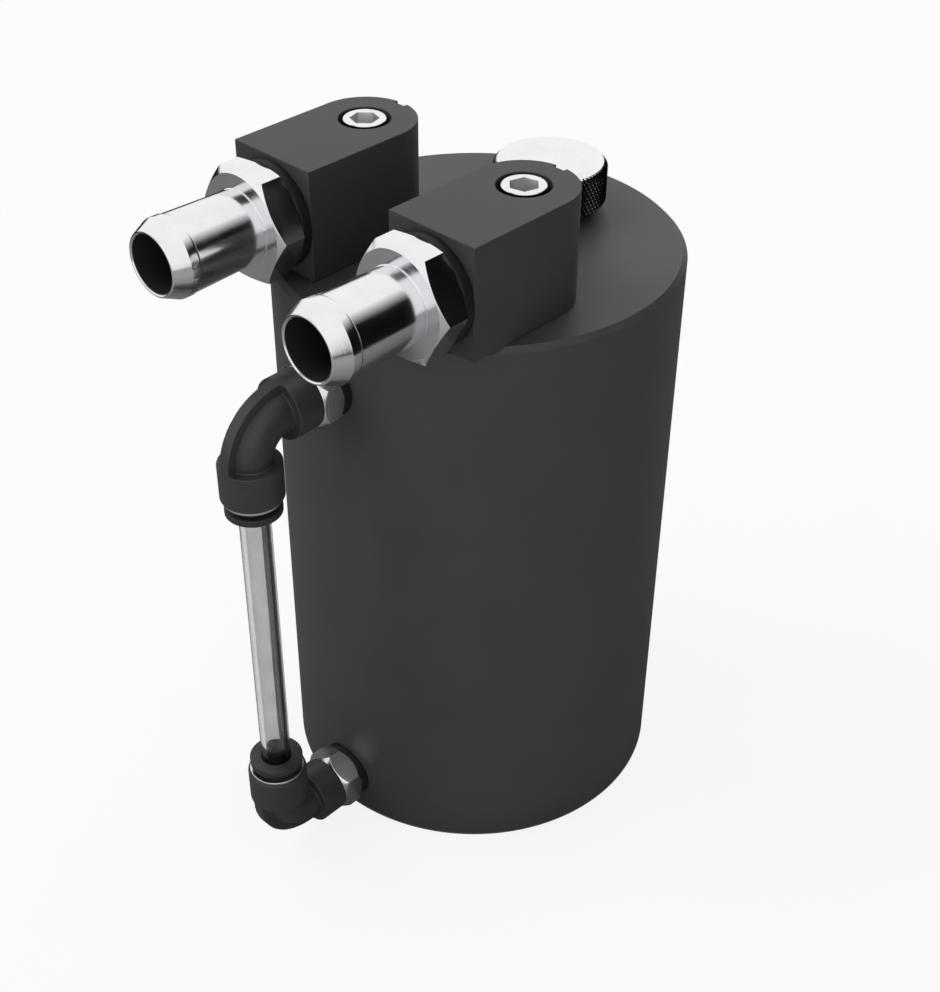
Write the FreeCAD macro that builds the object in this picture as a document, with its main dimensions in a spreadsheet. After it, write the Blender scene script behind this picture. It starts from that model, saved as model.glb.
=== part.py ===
import FreeCAD, Part
import math
import os
import Sketcher
from FreeCAD import Placement, Rotation, Vector

# Oil catch can: a closed round can with two swivelling hose necks and a filler cap on its top
# plate, and a sight tube between two elbows on the side that the necks point to.
# Origin: centre of the can's underside. +Z is up and the necks point along -Y. Millimetres.

doc = FreeCAD.newDocument("oil_catch_can")

# Driving dimensions

sheet = doc.addObject("Spreadsheet::Sheet", "sizes")
cells = [
    # can
    ("canRadius", 40.0),
    ("canHeight", 123.0),
    ("canWall", 4.0),
    ("topThickness", 9.0),
    ("rimChamfer", 1.0),
    # base plate, screwed into the open bottom against a ring seal
    ("baseWall", 2.8),
    ("baseFlange", 3.0),
    ("baseSpigot", 4.8),
    ("baseSealWidth", 1.0),
    # drain plug in a boss of the base plate
    ("drainOffset", 14.0),
    ("drainThread", 5.0),
    ("drainHead", 7.2),
    ("drainHeadThick", 2.6),
    ("drainBossRadius", 9.5),
    ("drainBossTop", 10.0),
    ("drainSealThick", 0.8),
    ("drainKey", 5.0),
    ("drainKeyDepth", 4.0),
    # splash baffle under the necks
    ("baffleBelowTop", 39.0),
    ("baffleThick", 2.0),
    ("baffleStep", 0.6),
    ("baffleHole", 2.5),
    ("baffleRingInner", 11.0),
    ("baffleMargin", 5.5),
    ("baffleInnerHoles", 6),
    ("baffleOuterHoles", 18),
    # drop tube under the inlet bolt
    ("dropRadius", 5.0),
    ("dropWall", 1.0),
    ("dropSocket", 3.0),
    ("dropLength", 61.0),
    # hollow bolts that hold the necks
    ("boltSpacing", 40.0),
    ("boltInset", 30.0),
    ("boltShank", 4.0),
    ("boltBore", 2.6),
    ("boltCrown", 4.2),
    ("boltCrownHeight", 2.0),
    ("boltFlange", 4.85),
    ("boltFlangeThick", 1.0),
    ("boltCrossHole", 1.7),
    ("boltKey", 5.0),
    ("boltKeyDepth", 4.0),
    ("boltFloor", 1.5),
    ("boltTurnLeft", 43.0),
    ("boltTurnRight", 13.0),
    ("boltSealThick", 1.0),
    # neck blocks
    ("blockWidth", 20.0),
    ("blockReach", 23.0),
    ("blockHeight", 21.75),
    ("notchWidth", 2.4),
    ("notchDepth", 0.9),
    ("counterbore", 5.0),
    ("galleryRadius", 7.0),
    ("galleryHeight", 11.0),
    ("portHeight", 10.7),
    ("portThread", 6.6),
    ("portThreadDepth", 10.0),
    ("blockSealRing", 6.2),
    ("blockSealSection", 1.5),
    # hose barbs
    ("barbSealThick", 2.1),
    ("barbSealRadius", 10.3),
    ("barbHexFlats", 19.8),
    ("barbHexThick", 5.9),
    ("barbRadius", 7.0),
    ("barbFoot", 0.25),
    ("barbBeadStart", 46.2),
    ("barbBeadEnd", 48.0),
    ("barbBeadRadius", 7.55),
    ("barbLeadRadius", 6.05),
    ("barbTip", 51.05),
    ("barbBore", 5.5),
    # filler cap
    ("capInset", 19.6),
    ("capRadius", 11.35),
    ("capHeight", 8.35),
    ("capEdge", 0.9),
    ("capSealThick", 1.6),
    ("capSealRadius", 9.0),
    ("capThread", 6.0),
    ("capThreadLength", 7.5),
    # sight tube and its elbows
    ("sightLow", 8.9),
    ("sightBelowTop", 14.3),
    ("sightStandoff", 19.0),
    ("stemThread", 3.0),
    ("stemThreadLength", 5.5),
    ("stemBore", 1.7),
    ("stemSeatDepth", 0.75),
    ("stemSealThick", 1.85),
    ("stemSealRadius", 6.1),
    ("stemHexFlats", 12.0),
    ("stemHexThick", 4.85),
    ("stemHexInset", 0.1),
    ("stemSpigot", 3.6),
    ("stemSpigotLength", 5.0),
    ("elbowRadius", 6.0),
    ("elbowCore", 4.2),
    ("elbowBend", 7.5),
    ("elbowRib", 2.4),
    ("elbowPassage", 1.7),
    ("elbowMouth", 14.9),
    ("tubeRadius", 3.0),
    ("tubeWall", 1.0),
    ("tubeStop", 8.2),
    ("sealStart", 8.9),
    ("sealRoom", 2.0),
    ("sealRadius", 4.3),
    ("cartridgeRadius", 4.85),
    ("grabThick", 0.4),
    ("cartridgeWall", 0.6),
    ("cartridgeRim", 5.6),
    ("cartridgeRimThick", 0.7),
    ("collarTravel", 1.2),
    ("collarFlange", 5.4),
    ("collarFlangeThick", 1.4),
    ("collarWall", 1.0),
    # clearances
    ("fitGap", 0.05),
    ("seatGap", 0.1),
    ("sideGap", 0.15),
]
for row, (alias, value) in enumerate(cells, start=1):
    sheet.set("A%d" % row, alias)
    sheet.set("B%d" % row, str(value))
    sheet.setAlias("B%d" % row, alias)
doc.recompute()

START = dict(cells)
ALONG_NECK = Rotation(Vector(1, 0, 0), 90)
DOWNWARDS = Rotation(Vector(1, 0, 0), 180)
UPRIGHT = Rotation()
kept = []


# Helpers that bind sizes to the sheet

def bound(words):
    """Turns a formula of plain aliases into one that reads the sheet."""
    out = []
    word = ""
    for sign in words + " ":
        if sign.isalnum():
            word += sign
            continue
        out.append("sizes." + word if word in START else word)
        out.append(sign)
        word = ""
    return "".join(out).strip()


def bind(thing, **formulas):
    for name, words in formulas.items():
        thing.setExpression(name.replace("_", "."), bound(words))


def place(thing, across="0", along="0", up="0", turn=UPRIGHT):
    thing.Placement = Placement(Vector(), turn)
    bind(thing, Placement_Base_x=across, Placement_Base_y=along, Placement_Base_z=up)


def origin_plane(body, role):
    return [plane for plane in body.Origin.OriginFeatures if plane.Role == role][0]


def new_body(name):
    body = doc.addObject("PartDesign::Body", name)
    body.Label = name
    kept.append(body)
    return body


def new_sketch(body, name, role, lift=None):
    sketch = body.newObject("Sketcher::SketchObject", name)
    sketch.AttachmentSupport = [(origin_plane(body, role), "")]
    sketch.MapMode = "FlatFace"
    if lift:
        sketch.setExpression(".AttachmentOffset.Base.z", bound(lift))
    return sketch


def datum(sketch, constraint, words):
    index = sketch.addConstraint(constraint)
    sketch.setExpression("Constraints[%d]" % index, bound(words))


def draw_outline(sketch, points):
    """Closed outline of straight lines. A point is (x formula, y formula); "0" puts it on an axis."""
    start = [Vector(5 + 3 * index, 5 + 7 * (index % 3), 0) for index in range(len(points))]
    count = len(points)
    for index in range(count):
        sketch.addGeometry(Part.LineSegment(start[index], start[(index + 1) % count]), False)
    for index in range(count):
        following = (index + 1) % count
        sketch.addConstraint(Sketcher.Constraint("Coincident", index, 2, following, 1))
    for index, (across, up) in enumerate(points):
        if across == "0":
            sketch.addConstraint(Sketcher.Constraint("PointOnObject", index, 1, -2))
        else:
            datum(sketch, Sketcher.Constraint("DistanceX", -1, 1, index, 1, 5.0), across)
        if up == "0":
            sketch.addConstraint(Sketcher.Constraint("PointOnObject", index, 1, -1))
        else:
            datum(sketch, Sketcher.Constraint("DistanceY", -1, 1, index, 1, 5.0), up)


def draw_circle(sketch, radius, across="0", up="0"):
    index = sketch.addGeometry(Part.Circle(Vector(1, 1, 0), Vector(0, 0, 1), 1.0), False)
    datum(sketch, Sketcher.Constraint("Radius", index, 1.0), radius)
    if across == "0":
        sketch.addConstraint(Sketcher.Constraint("PointOnObject", index, 3, -2))
    else:
        datum(sketch, Sketcher.Constraint("DistanceX", -1, 1, index, 3, 1.0), across)
    if up == "0":
        sketch.addConstraint(Sketcher.Constraint("PointOnObject", index, 3, -1))
    else:
        datum(sketch, Sketcher.Constraint("DistanceY", -1, 1, index, 3, 1.0), up)


def draw_hexagon(sketch, flats, corner_axis):
    """Regular hexagon about the origin, with a corner on the axis that is named."""
    guide = sketch.addGeometry(Part.Circle(Vector(0, 0, 0), Vector(0, 0, 1), 8.0), True)
    datum(sketch, Sketcher.Constraint("Radius", guide, 8.0), "(%s) / sqrt(3)" % flats)
    sketch.addConstraint(Sketcher.Constraint("Coincident", guide, 3, -1, 1))
    first = 0 if corner_axis == "x" else 90
    corners = [Rotation(Vector(0, 0, 1), first + 60 * k).multVec(Vector(8, 0, 0)) for k in range(6)]
    lines = [sketch.addGeometry(Part.LineSegment(corners[k], corners[(k + 1) % 6]), False) for k in range(6)]
    for k in range(6):
        sketch.addConstraint(Sketcher.Constraint("Coincident", lines[k], 2, lines[(k + 1) % 6], 1))
        sketch.addConstraint(Sketcher.Constraint("PointOnObject", lines[k], 1, guide))
    for k in range(1, 6):
        sketch.addConstraint(Sketcher.Constraint("Equal", lines[0], lines[k]))
    level = "Horizontal" if corner_axis == "x" else "Vertical"
    sketch.addConstraint(Sketcher.Constraint(level, lines[0], 1, guide, 3))


def revolve(body, name, points, cut=False):
    """Turns an outline on the XZ plane about the Z axis, as solid or as a cut."""
    sketch = new_sketch(body, name + "_outline", "XZ_Plane")
    draw_outline(sketch, points)
    doc.recompute()
    feature = body.newObject("PartDesign::Groove" if cut else "PartDesign::Revolution", name)
    feature.Profile = sketch
    feature.ReferenceAxis = (sketch, ["V_Axis"])
    feature.Angle = 360
    doc.recompute()
    return feature


def must_cut(body, before, name):
    doc.recompute()
    if not body.Shape.Volume < before - 0.01:
        raise RuntimeError("cut removes nothing: " + name)


def pocket(body, name, role, drawing, depth=None, lift=None, both_ways=False):
    """Cuts what drawing(sketch) draws, from the lifted plane against its normal or right through."""
    before = body.Shape.Volume
    sketch = new_sketch(body, name + "_sketch", role, lift)
    drawing(sketch)
    doc.recompute()
    feature = body.newObject("PartDesign::Pocket", name)
    feature.Profile = sketch
    feature.Midplane = both_ways
    if depth:
        bind(feature, Length=depth)
    else:
        feature.Type = "ThroughAll"
    must_cut(body, before, name)
    return feature


def turned(name, points):
    body = new_body(name)
    revolve(body, "turning", points)
    return body


def ring(name, inner, outer, thick):
    return turned(name, [(inner, "0"), (outer, "0"), (outer, thick), (inner, thick)])


def round_ring(name, middle, section):
    """Ring of round section, lying on the XY plane of its own frame."""
    torus = doc.addObject("Part::Torus", name)
    torus.Label = name
    bind(torus, Radius1=middle, Radius2="(%s) / 2" % section)
    kept.append(torus)
    return torus


def cut_hexagon(body, name, flats, corner_axis, bottom, top):
    """Takes off everything outside a hexagon, between two heights."""
    def drawing(sketch):
        draw_hexagon(sketch, flats, corner_axis)
        draw_circle(sketch, flats)
    return pocket(body, name, "XY_Plane", drawing, "%s - (%s)" % (top, bottom), lift=top)


def solid_cylinder(name, radius, length, start="0", turn=UPRIGHT, axis="z"):
    thing = doc.addObject("Part::Cylinder", name)
    place(thing, turn=turn, **{{"x": "across", "y": "along", "z": "up"}[axis]: start})
    bind(thing, Radius=radius, Height=length)
    return thing


# Can: a turned cup, open at the bottom, with its top plate in one piece

BAFFLE_TOP = "canHeight - baffleBelowTop + baffleThick"
BOLT_LINE = "boltInset - canRadius"
CAP_LINE = "canRadius - capInset"
can = turned("can_body", [
    ("canRadius - baseWall", "0"),
    ("canRadius", "0"),
    ("canRadius", "canHeight - rimChamfer"),
    ("canRadius - rimChamfer", "canHeight"),
    ("0", "canHeight"),
    ("0", "canHeight - topThickness"),
    ("canRadius - canWall - baffleStep", "canHeight - topThickness"),
    ("canRadius - canWall - baffleStep", BAFFLE_TOP),
    ("canRadius - canWall", BAFFLE_TOP),
    ("canRadius - canWall", "baseFlange + baseSealWidth"),
    ("canRadius - baseWall", "baseFlange + baseSealWidth"),
])


def draw_bolt_holes(sketch):
    for side in ("-boltSpacing / 2", "boltSpacing / 2"):
        draw_circle(sketch, "boltShank + fitGap", side, BOLT_LINE)


pocket(can, "bolt_holes", "XY_Plane", draw_bolt_holes, lift="canHeight")
pocket(can, "filler_hole", "XY_Plane",
       lambda sketch: draw_circle(sketch, "capThread + fitGap", "0", CAP_LINE), lift="canHeight")
pocket(can, "drop_tube_socket", "XY_Plane",
       lambda sketch: draw_circle(sketch, "dropRadius + fitGap", "-boltSpacing / 2", BOLT_LINE),
       "dropSocket", lift="canHeight - topThickness + dropSocket")


SIGHT_HIGH = "canHeight - sightBelowTop"
STEM_SEAT = "canRadius - stemSeatDepth"
SIGHT_REACH = "canRadius + sightStandoff"


def draw_sight_ports(radius):
    def drawing(sketch):
        for height in ("sightLow", SIGHT_HIGH):
            draw_circle(sketch, radius, "0", height)
    return drawing


pocket(can, "sight_seats", "XZ_Plane", draw_sight_ports("stemSealRadius + seatGap"),
       "stemSeatDepth", lift="canRadius")
pocket(can, "sight_ports", "XZ_Plane", draw_sight_ports("stemThread + fitGap"),
       "2 * canWall", lift="canRadius")

# Base plate with its drain plug

base = turned("base_plate", [
    ("0", "0"),
    ("canRadius - baseWall - fitGap", "0"),
    ("canRadius - baseWall - fitGap", "baseFlange"),
    ("canRadius - canWall - fitGap", "baseFlange"),
    ("canRadius - canWall - fitGap", "baseSpigot"),
    ("0", "baseSpigot"),
])
boss_sketch = new_sketch(base, "boss_sketch", "XY_Plane")
draw_circle(boss_sketch, "drainBossRadius", "0", "drainOffset")
doc.recompute()
boss = base.newObject("PartDesign::Pad", "boss")
boss.Profile = boss_sketch
bind(boss, Length="drainBossTop")
doc.recompute()
pocket(base, "drain_thread", "XY_Plane",
       lambda sketch: draw_circle(sketch, "drainThread + fitGap", "0", "drainOffset"),
       lift="drainBossTop")
pocket(base, "drain_counterbore", "XY_Plane",
       lambda sketch: draw_circle(sketch, "drainHead + sideGap", "0", "drainOffset"),
       "drainHeadThick + drainSealThick + seatGap",
       lift="drainHeadThick + drainSealThick + seatGap")

base_seal = round_ring("base_seal", "canRadius - (baseWall + canWall) / 2", "baseSealWidth - fitGap")
place(base_seal, up="baseFlange + baseSealWidth / 2")

drain_plug = turned("drain_plug", [
    ("0", "0"),
    ("drainHead", "0"),
    ("drainHead", "drainHeadThick"),
    ("drainThread", "drainHeadThick"),
    ("drainThread", "drainBossTop - seatGap"),
    ("0", "drainBossTop - seatGap"),
])
pocket(drain_plug, "key_socket", "XY_Plane",
       lambda sketch: draw_hexagon(sketch, "drainKey", "x"), "drainKeyDepth", lift="drainKeyDepth")
place(drain_plug, along="drainOffset", up="seatGap")

drain_seal = ring("drain_seal", "drainThread + fitGap", "drainHead", "drainSealThick")
place(drain_seal, along="drainOffset", up="drainHeadThick + seatGap")

# Splash baffle and drop tube

baffle = ring("baffle_plate", "0", "canRadius - canWall - fitGap", "baffleThick")
hole_feature = pocket(baffle, "baffle_hole", "XY_Plane",
                      lambda sketch: draw_circle(sketch, "baffleHole", "canRadius - canWall - baffleMargin"),
                      lift="baffleThick")
outer_holes = baffle.newObject("PartDesign::PolarPattern", "outer_holes")
outer_holes.Originals = [hole_feature]
outer_holes.Axis = (hole_feature.Profile[0], ["N_Axis"])
outer_holes.Angle = 360
bind(outer_holes, Occurrences="baffleOuterHoles")
baffle.Tip = outer_holes
inner_feature = pocket(baffle, "inner_hole", "XY_Plane",
                       lambda sketch: draw_circle(sketch, "baffleHole", "baffleRingInner"),
                       lift="baffleThick")
inner_holes = baffle.newObject("PartDesign::PolarPattern", "inner_holes")
inner_holes.Originals = [inner_feature]
inner_holes.Axis = (inner_feature.Profile[0], ["N_Axis"])
inner_holes.Angle = 360
bind(inner_holes, Occurrences="baffleInnerHoles")
baffle.Tip = inner_holes
pocket(baffle, "drop_tube_hole", "XY_Plane",
       lambda sketch: draw_circle(sketch, "dropRadius + sideGap", "-boltSpacing / 2", BOLT_LINE),
       lift="baffleThick")
place(baffle, up=BAFFLE_TOP + " - baffleThick")

drop_tube = ring("drop_tube", "dropRadius - dropWall", "dropRadius", "dropLength")
place(drop_tube, across="-boltSpacing / 2", along=BOLT_LINE,
      up="canHeight - topThickness + dropSocket - dropLength")

# Necks: block, barb, seals and hollow bolt, one set on each side

BLOCK_FLOOR = "canHeight + seatGap"
BOLT_TOP = "canHeight + seatGap + blockHeight"
BOLT_THREAD = "topThickness - dropSocket - seatGap"
HEAD_HEIGHT = "boltCrownHeight + boltFlangeThick"


def port_block(name):
    """Block with a half-round back about its bolt, standing on the XY plane and facing -Y."""
    body = new_body(name)
    sketch = new_sketch(body, name + "_plan", "XY_Plane")
    half = START["blockWidth"] / 2
    reach = START["blockReach"]
    corners = [Vector(half, 0, 0), Vector(half, -reach, 0), Vector(-half, -reach, 0), Vector(-half, 0, 0)]
    right, front, left = [
        sketch.addGeometry(Part.LineSegment(corners[k], corners[k + 1]), False) for k in range(3)
    ]
    circle = Part.Circle(Vector(0, 0, 0), Vector(0, 0, 1), half)
    back = sketch.addGeometry(Part.ArcOfCircle(circle, 0, math.pi), False)
    sketch.addConstraint(Sketcher.Constraint("Coincident", back, 3, -1, 1))
    sketch.addConstraint(Sketcher.Constraint("Coincident", back, 1, right, 1))
    sketch.addConstraint(Sketcher.Constraint("Coincident", right, 2, front, 1))
    sketch.addConstraint(Sketcher.Constraint("Coincident", front, 2, left, 1))
    sketch.addConstraint(Sketcher.Constraint("Coincident", left, 2, back, 2))
    sketch.addConstraint(Sketcher.Constraint("PointOnObject", back, 1, -1))
    sketch.addConstraint(Sketcher.Constraint("PointOnObject", back, 2, -1))
    sketch.addConstraint(Sketcher.Constraint("Vertical", right))
    sketch.addConstraint(Sketcher.Constraint("Vertical", left))
    sketch.addConstraint(Sketcher.Constraint("Horizontal", front))
    datum(sketch, Sketcher.Constraint("Radius", back, half), "blockWidth / 2")
    datum(sketch, Sketcher.Constraint("DistanceY", front, 1, -1, 1, reach), "blockReach")
    doc.recompute()
    pad = body.newObject("PartDesign::Pad", name + "_pad")
    pad.Profile = sketch
    bind(pad, Length="blockHeight")
    doc.recompute()

    before = body.Shape.Volume
    gallery_low = "portHeight - galleryHeight / 2"
    gallery_high = "portHeight + galleryHeight / 2"
    shoulder = "blockHeight - (%s) - boltSealThick - seatGap" % HEAD_HEIGHT
    seal_room = "blockSealRing + blockSealSection / 2 + sideGap"
    seal_depth = "blockSealSection - seatGap"
    revolve(body, name + "_bore", [
        ("0", "0"),
        (seal_room, "0"),
        (seal_room, seal_depth),
        ("boltShank + fitGap", seal_depth),
        ("boltShank + fitGap", gallery_low),
        ("galleryRadius", gallery_low),
        ("galleryRadius", gallery_high),
        ("boltShank + fitGap", gallery_high),
        ("boltShank + fitGap", shoulder),
        ("counterbore", shoulder),
        ("counterbore", "blockHeight"),
        ("0", "blockHeight"),
    ], cut=True)
    must_cut(body, before, name + "_bore")
    pocket(body, name + "_thread", "XZ_Plane",
           lambda sketch: draw_circle(sketch, "portThread", "0", "portHeight"),
           "portThreadDepth", lift="blockReach")
    pocket(body, name + "_port", "XZ_Plane",
           lambda sketch: draw_circle(sketch, "barbBore", "0", "portHeight"),
           "blockReach - portThreadDepth", lift="blockReach - portThreadDepth")
    notch = [
        ("-notchWidth / 2", "blockWidth / 2 - notchDepth"),
        ("notchWidth / 2", "blockWidth / 2 - notchDepth"),
        ("notchWidth / 2", "blockWidth / 2 + notchDepth"),
        ("-notchWidth / 2", "blockWidth / 2 + notchDepth"),
    ]
    pocket(body, name + "_notch", "XY_Plane", lambda sketch: draw_outline(sketch, notch), lift="blockHeight")
    return body


def hose_barb(name):
    """Threaded tail, hexagon, barrel, bead and lead-in, along +Z from the bolt's axis."""
    hex_back = "blockReach + barbSealThick"
    hex_front = hex_back + " + barbHexThick"
    corner = "barbHexFlats / sqrt(3)"
    chamfer = "(barbHexFlats / sqrt(3) - barbHexFlats / 2) / sqrt(3)"
    tail = "blockReach - portThreadDepth + seatGap"
    body = turned(name, [
        ("barbBore", tail),
        ("portThread - fitGap", tail),
        ("portThread - fitGap", hex_back),
        ("barbHexFlats / 2", hex_back),
        (corner, "%s + %s" % (hex_back, chamfer)),
        (corner, "%s - %s" % (hex_front, chamfer)),
        ("barbHexFlats / 2", hex_front),
        ("barbRadius + barbFoot", hex_front),
        ("barbRadius", hex_front + " + barbFoot"),
        ("barbRadius", "barbBeadStart - (barbBeadRadius - barbRadius)"),
        ("barbBeadRadius", "barbBeadStart"),
        ("barbBeadRadius", "barbBeadEnd"),
        ("barbLeadRadius", "barbTip"),
        ("barbBore", "barbTip"),
    ])
    cut_hexagon(body, name + "_flats", "barbHexFlats", "x", hex_back, hex_front)
    return body


def banjo_bolt(name):
    """Hollow bolt hanging from its crown at z = 0 down into the top plate."""
    length = "blockHeight + seatGap + " + BOLT_THREAD
    body = turned(name, [
        ("boltBore", "0"),
        ("boltShank", "0"),
        ("boltShank", "%s - (%s)" % (length, HEAD_HEIGHT)),
        ("boltFlange", "%s - (%s)" % (length, HEAD_HEIGHT)),
        ("boltFlange", "%s - boltCrownHeight" % length),
        ("boltCrown", "%s - boltCrownHeight" % length),
        ("boltCrown", length),
        ("0", length),
        ("0", "%s - boltKeyDepth - boltFloor" % length),
        ("boltBore", "%s - boltKeyDepth - boltFloor" % length),
    ])
    pocket(body, name + "_key", "XY_Plane",
           lambda sketch: draw_hexagon(sketch, "boltKey", "x"), "boltKeyDepth", lift=length)
    cross_height = BOLT_THREAD + " + seatGap + portHeight"
    for role in ("XZ_Plane", "YZ_Plane"):
        pocket(body, name + "_cross_" + role[:2], role,
               lambda sketch: draw_circle(sketch, "boltCrossHole", "0", cross_height), both_ways=True)
    return body


for side, sign in (("left", "-"), ("right", "")):
    across = sign + "boltSpacing / 2"
    block = port_block("port_block_" + side)
    place(block, across, BOLT_LINE, BLOCK_FLOOR)
    block_seal = round_ring("block_seal_" + side, "blockSealRing", "blockSealSection - fitGap")
    place(block_seal, across, BOLT_LINE, "canHeight + blockSealSection / 2")
    barb = hose_barb("hose_barb_" + side)
    place(barb, across, BOLT_LINE, BLOCK_FLOOR + " + portHeight", ALONG_NECK)
    barb_seal = ring("barb_seal_" + side, "portThread + fitGap", "barbSealRadius", "barbSealThick")
    place(barb_seal, across, BOLT_LINE + " - blockReach", BLOCK_FLOOR + " + portHeight", ALONG_NECK)
    bolt = banjo_bolt("banjo_bolt_" + side)
    place(bolt, across, BOLT_LINE, "canHeight - (%s)" % BOLT_THREAD)
    bind(bolt, Placement_Rotation_Angle="boltTurn" + side.capitalize())
    bolt_seal = ring("bolt_seal_" + side, "boltShank + fitGap", "boltFlange", "boltSealThick")
    place(bolt_seal, across, BOLT_LINE, "%s - (%s) - boltSealThick" % (BOLT_TOP, HEAD_HEIGHT))

# Filler cap: knurled knob on a threaded stem, with its seal ring

cap = turned("filler_cap", [
    ("0", "0"),
    ("capThread", "0"),
    ("capThread", "capThreadLength + capSealThick"),
    ("capRadius - capEdge", "capThreadLength + capSealThick"),
    ("capRadius", "capThreadLength + capSealThick + capEdge"),
    ("capRadius", "capThreadLength + capSealThick + capHeight - capEdge"),
    ("capRadius - capEdge", "capThreadLength + capSealThick + capHeight"),
    ("0", "capThreadLength + capSealThick + capHeight"),
])
place(cap, along=CAP_LINE, up="canHeight - capThreadLength")
cap_seal = ring("cap_seal", "capThread + fitGap", "capSealRadius", "capSealThick")
place(cap_seal, along=CAP_LINE, up="canHeight")

# Sight tube and its elbows: one set at the top turned down, one at the bottom turned up


def elbow(name, turn, up):
    """Push-in elbow. In its own frame the stem leg runs along -X and the tube leg along +Y."""
    along_x = Rotation(Vector(0, 1, 0), 90)
    along_y = Rotation(Vector(1, 0, 0), -90)

    def bend(part, radius):
        thing = doc.addObject("Part::Torus", part)
        thing.Angle3 = 90
        place(thing, "-elbowBend", "elbowBend", "0", Rotation(Vector(0, 0, 1), -90))
        bind(thing, Radius1="elbowBend", Radius2=radius)
        return thing

    def sector(part, radius):
        thing = doc.addObject("Part::Cylinder", part)
        thing.Angle = 90
        place(thing, "-elbowBend", "elbowBend", "-elbowRib / 2", Rotation(Vector(0, 0, 1), -90))
        bind(thing, Radius=radius, Height="elbowRib")
        return thing

    def bored(part, radius, start, end):
        return solid_cylinder(part, radius, "%s - (%s)" % (end, start), start, along_y, "y")

    stem_end = "sightStandoff + stemSeatDepth - stemSealThick - stemHexThick - sideGap"
    stem_leg = solid_cylinder(name + "_stem_leg", "elbowRadius", "(%s) - elbowBend" % stem_end,
                              "-(%s)" % stem_end, along_x, "x")
    tube_leg = bored(name + "_tube_leg", "elbowRadius", "elbowBend", "elbowMouth")
    rib = doc.addObject("Part::Cut", name + "_rib")
    rib.Base = sector(name + "_rib_sector", "elbowBend + elbowRadius")
    rib.Tool = sector(name + "_rib_hollow", "elbowBend")
    outside = doc.addObject("Part::MultiFuse", name + "_outside")
    outside.Shapes = [stem_leg, tube_leg, bend(name + "_core", "elbowCore"), rib]
    stem_bore = solid_cylinder(name + "_stem_bore", "stemSpigot + fitGap", "stemSpigotLength",
                               "-(%s)" % stem_end, along_x, "x")
    stem_passage = solid_cylinder(name + "_stem_passage", "elbowPassage", "(%s) - elbowBend" % stem_end,
                                  "-(%s)" % stem_end, along_x, "x")
    inside = doc.addObject("Part::MultiFuse", name + "_inside")
    inside.Shapes = [
        stem_bore,
        stem_passage,
        bend(name + "_passage", "elbowPassage"),
        bored(name + "_tube_passage", "elbowPassage", "elbowBend", "elbowMouth"),
        bored(name + "_tube_bore", "tubeRadius + fitGap", "tubeStop", "elbowMouth"),
        bored(name + "_seal_bore", "sealRadius", "sealStart", "elbowMouth"),
        bored(name + "_cartridge_bore", "cartridgeRadius", "sealStart + sealRoom", "elbowMouth"),
    ]
    body = doc.addObject("Part::Cut", name)
    body.Label = name
    body.Base = outside
    body.Tool = inside
    place(body, along="-(%s)" % SIGHT_REACH, up=up, turn=turn)
    kept.append(body)


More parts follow.
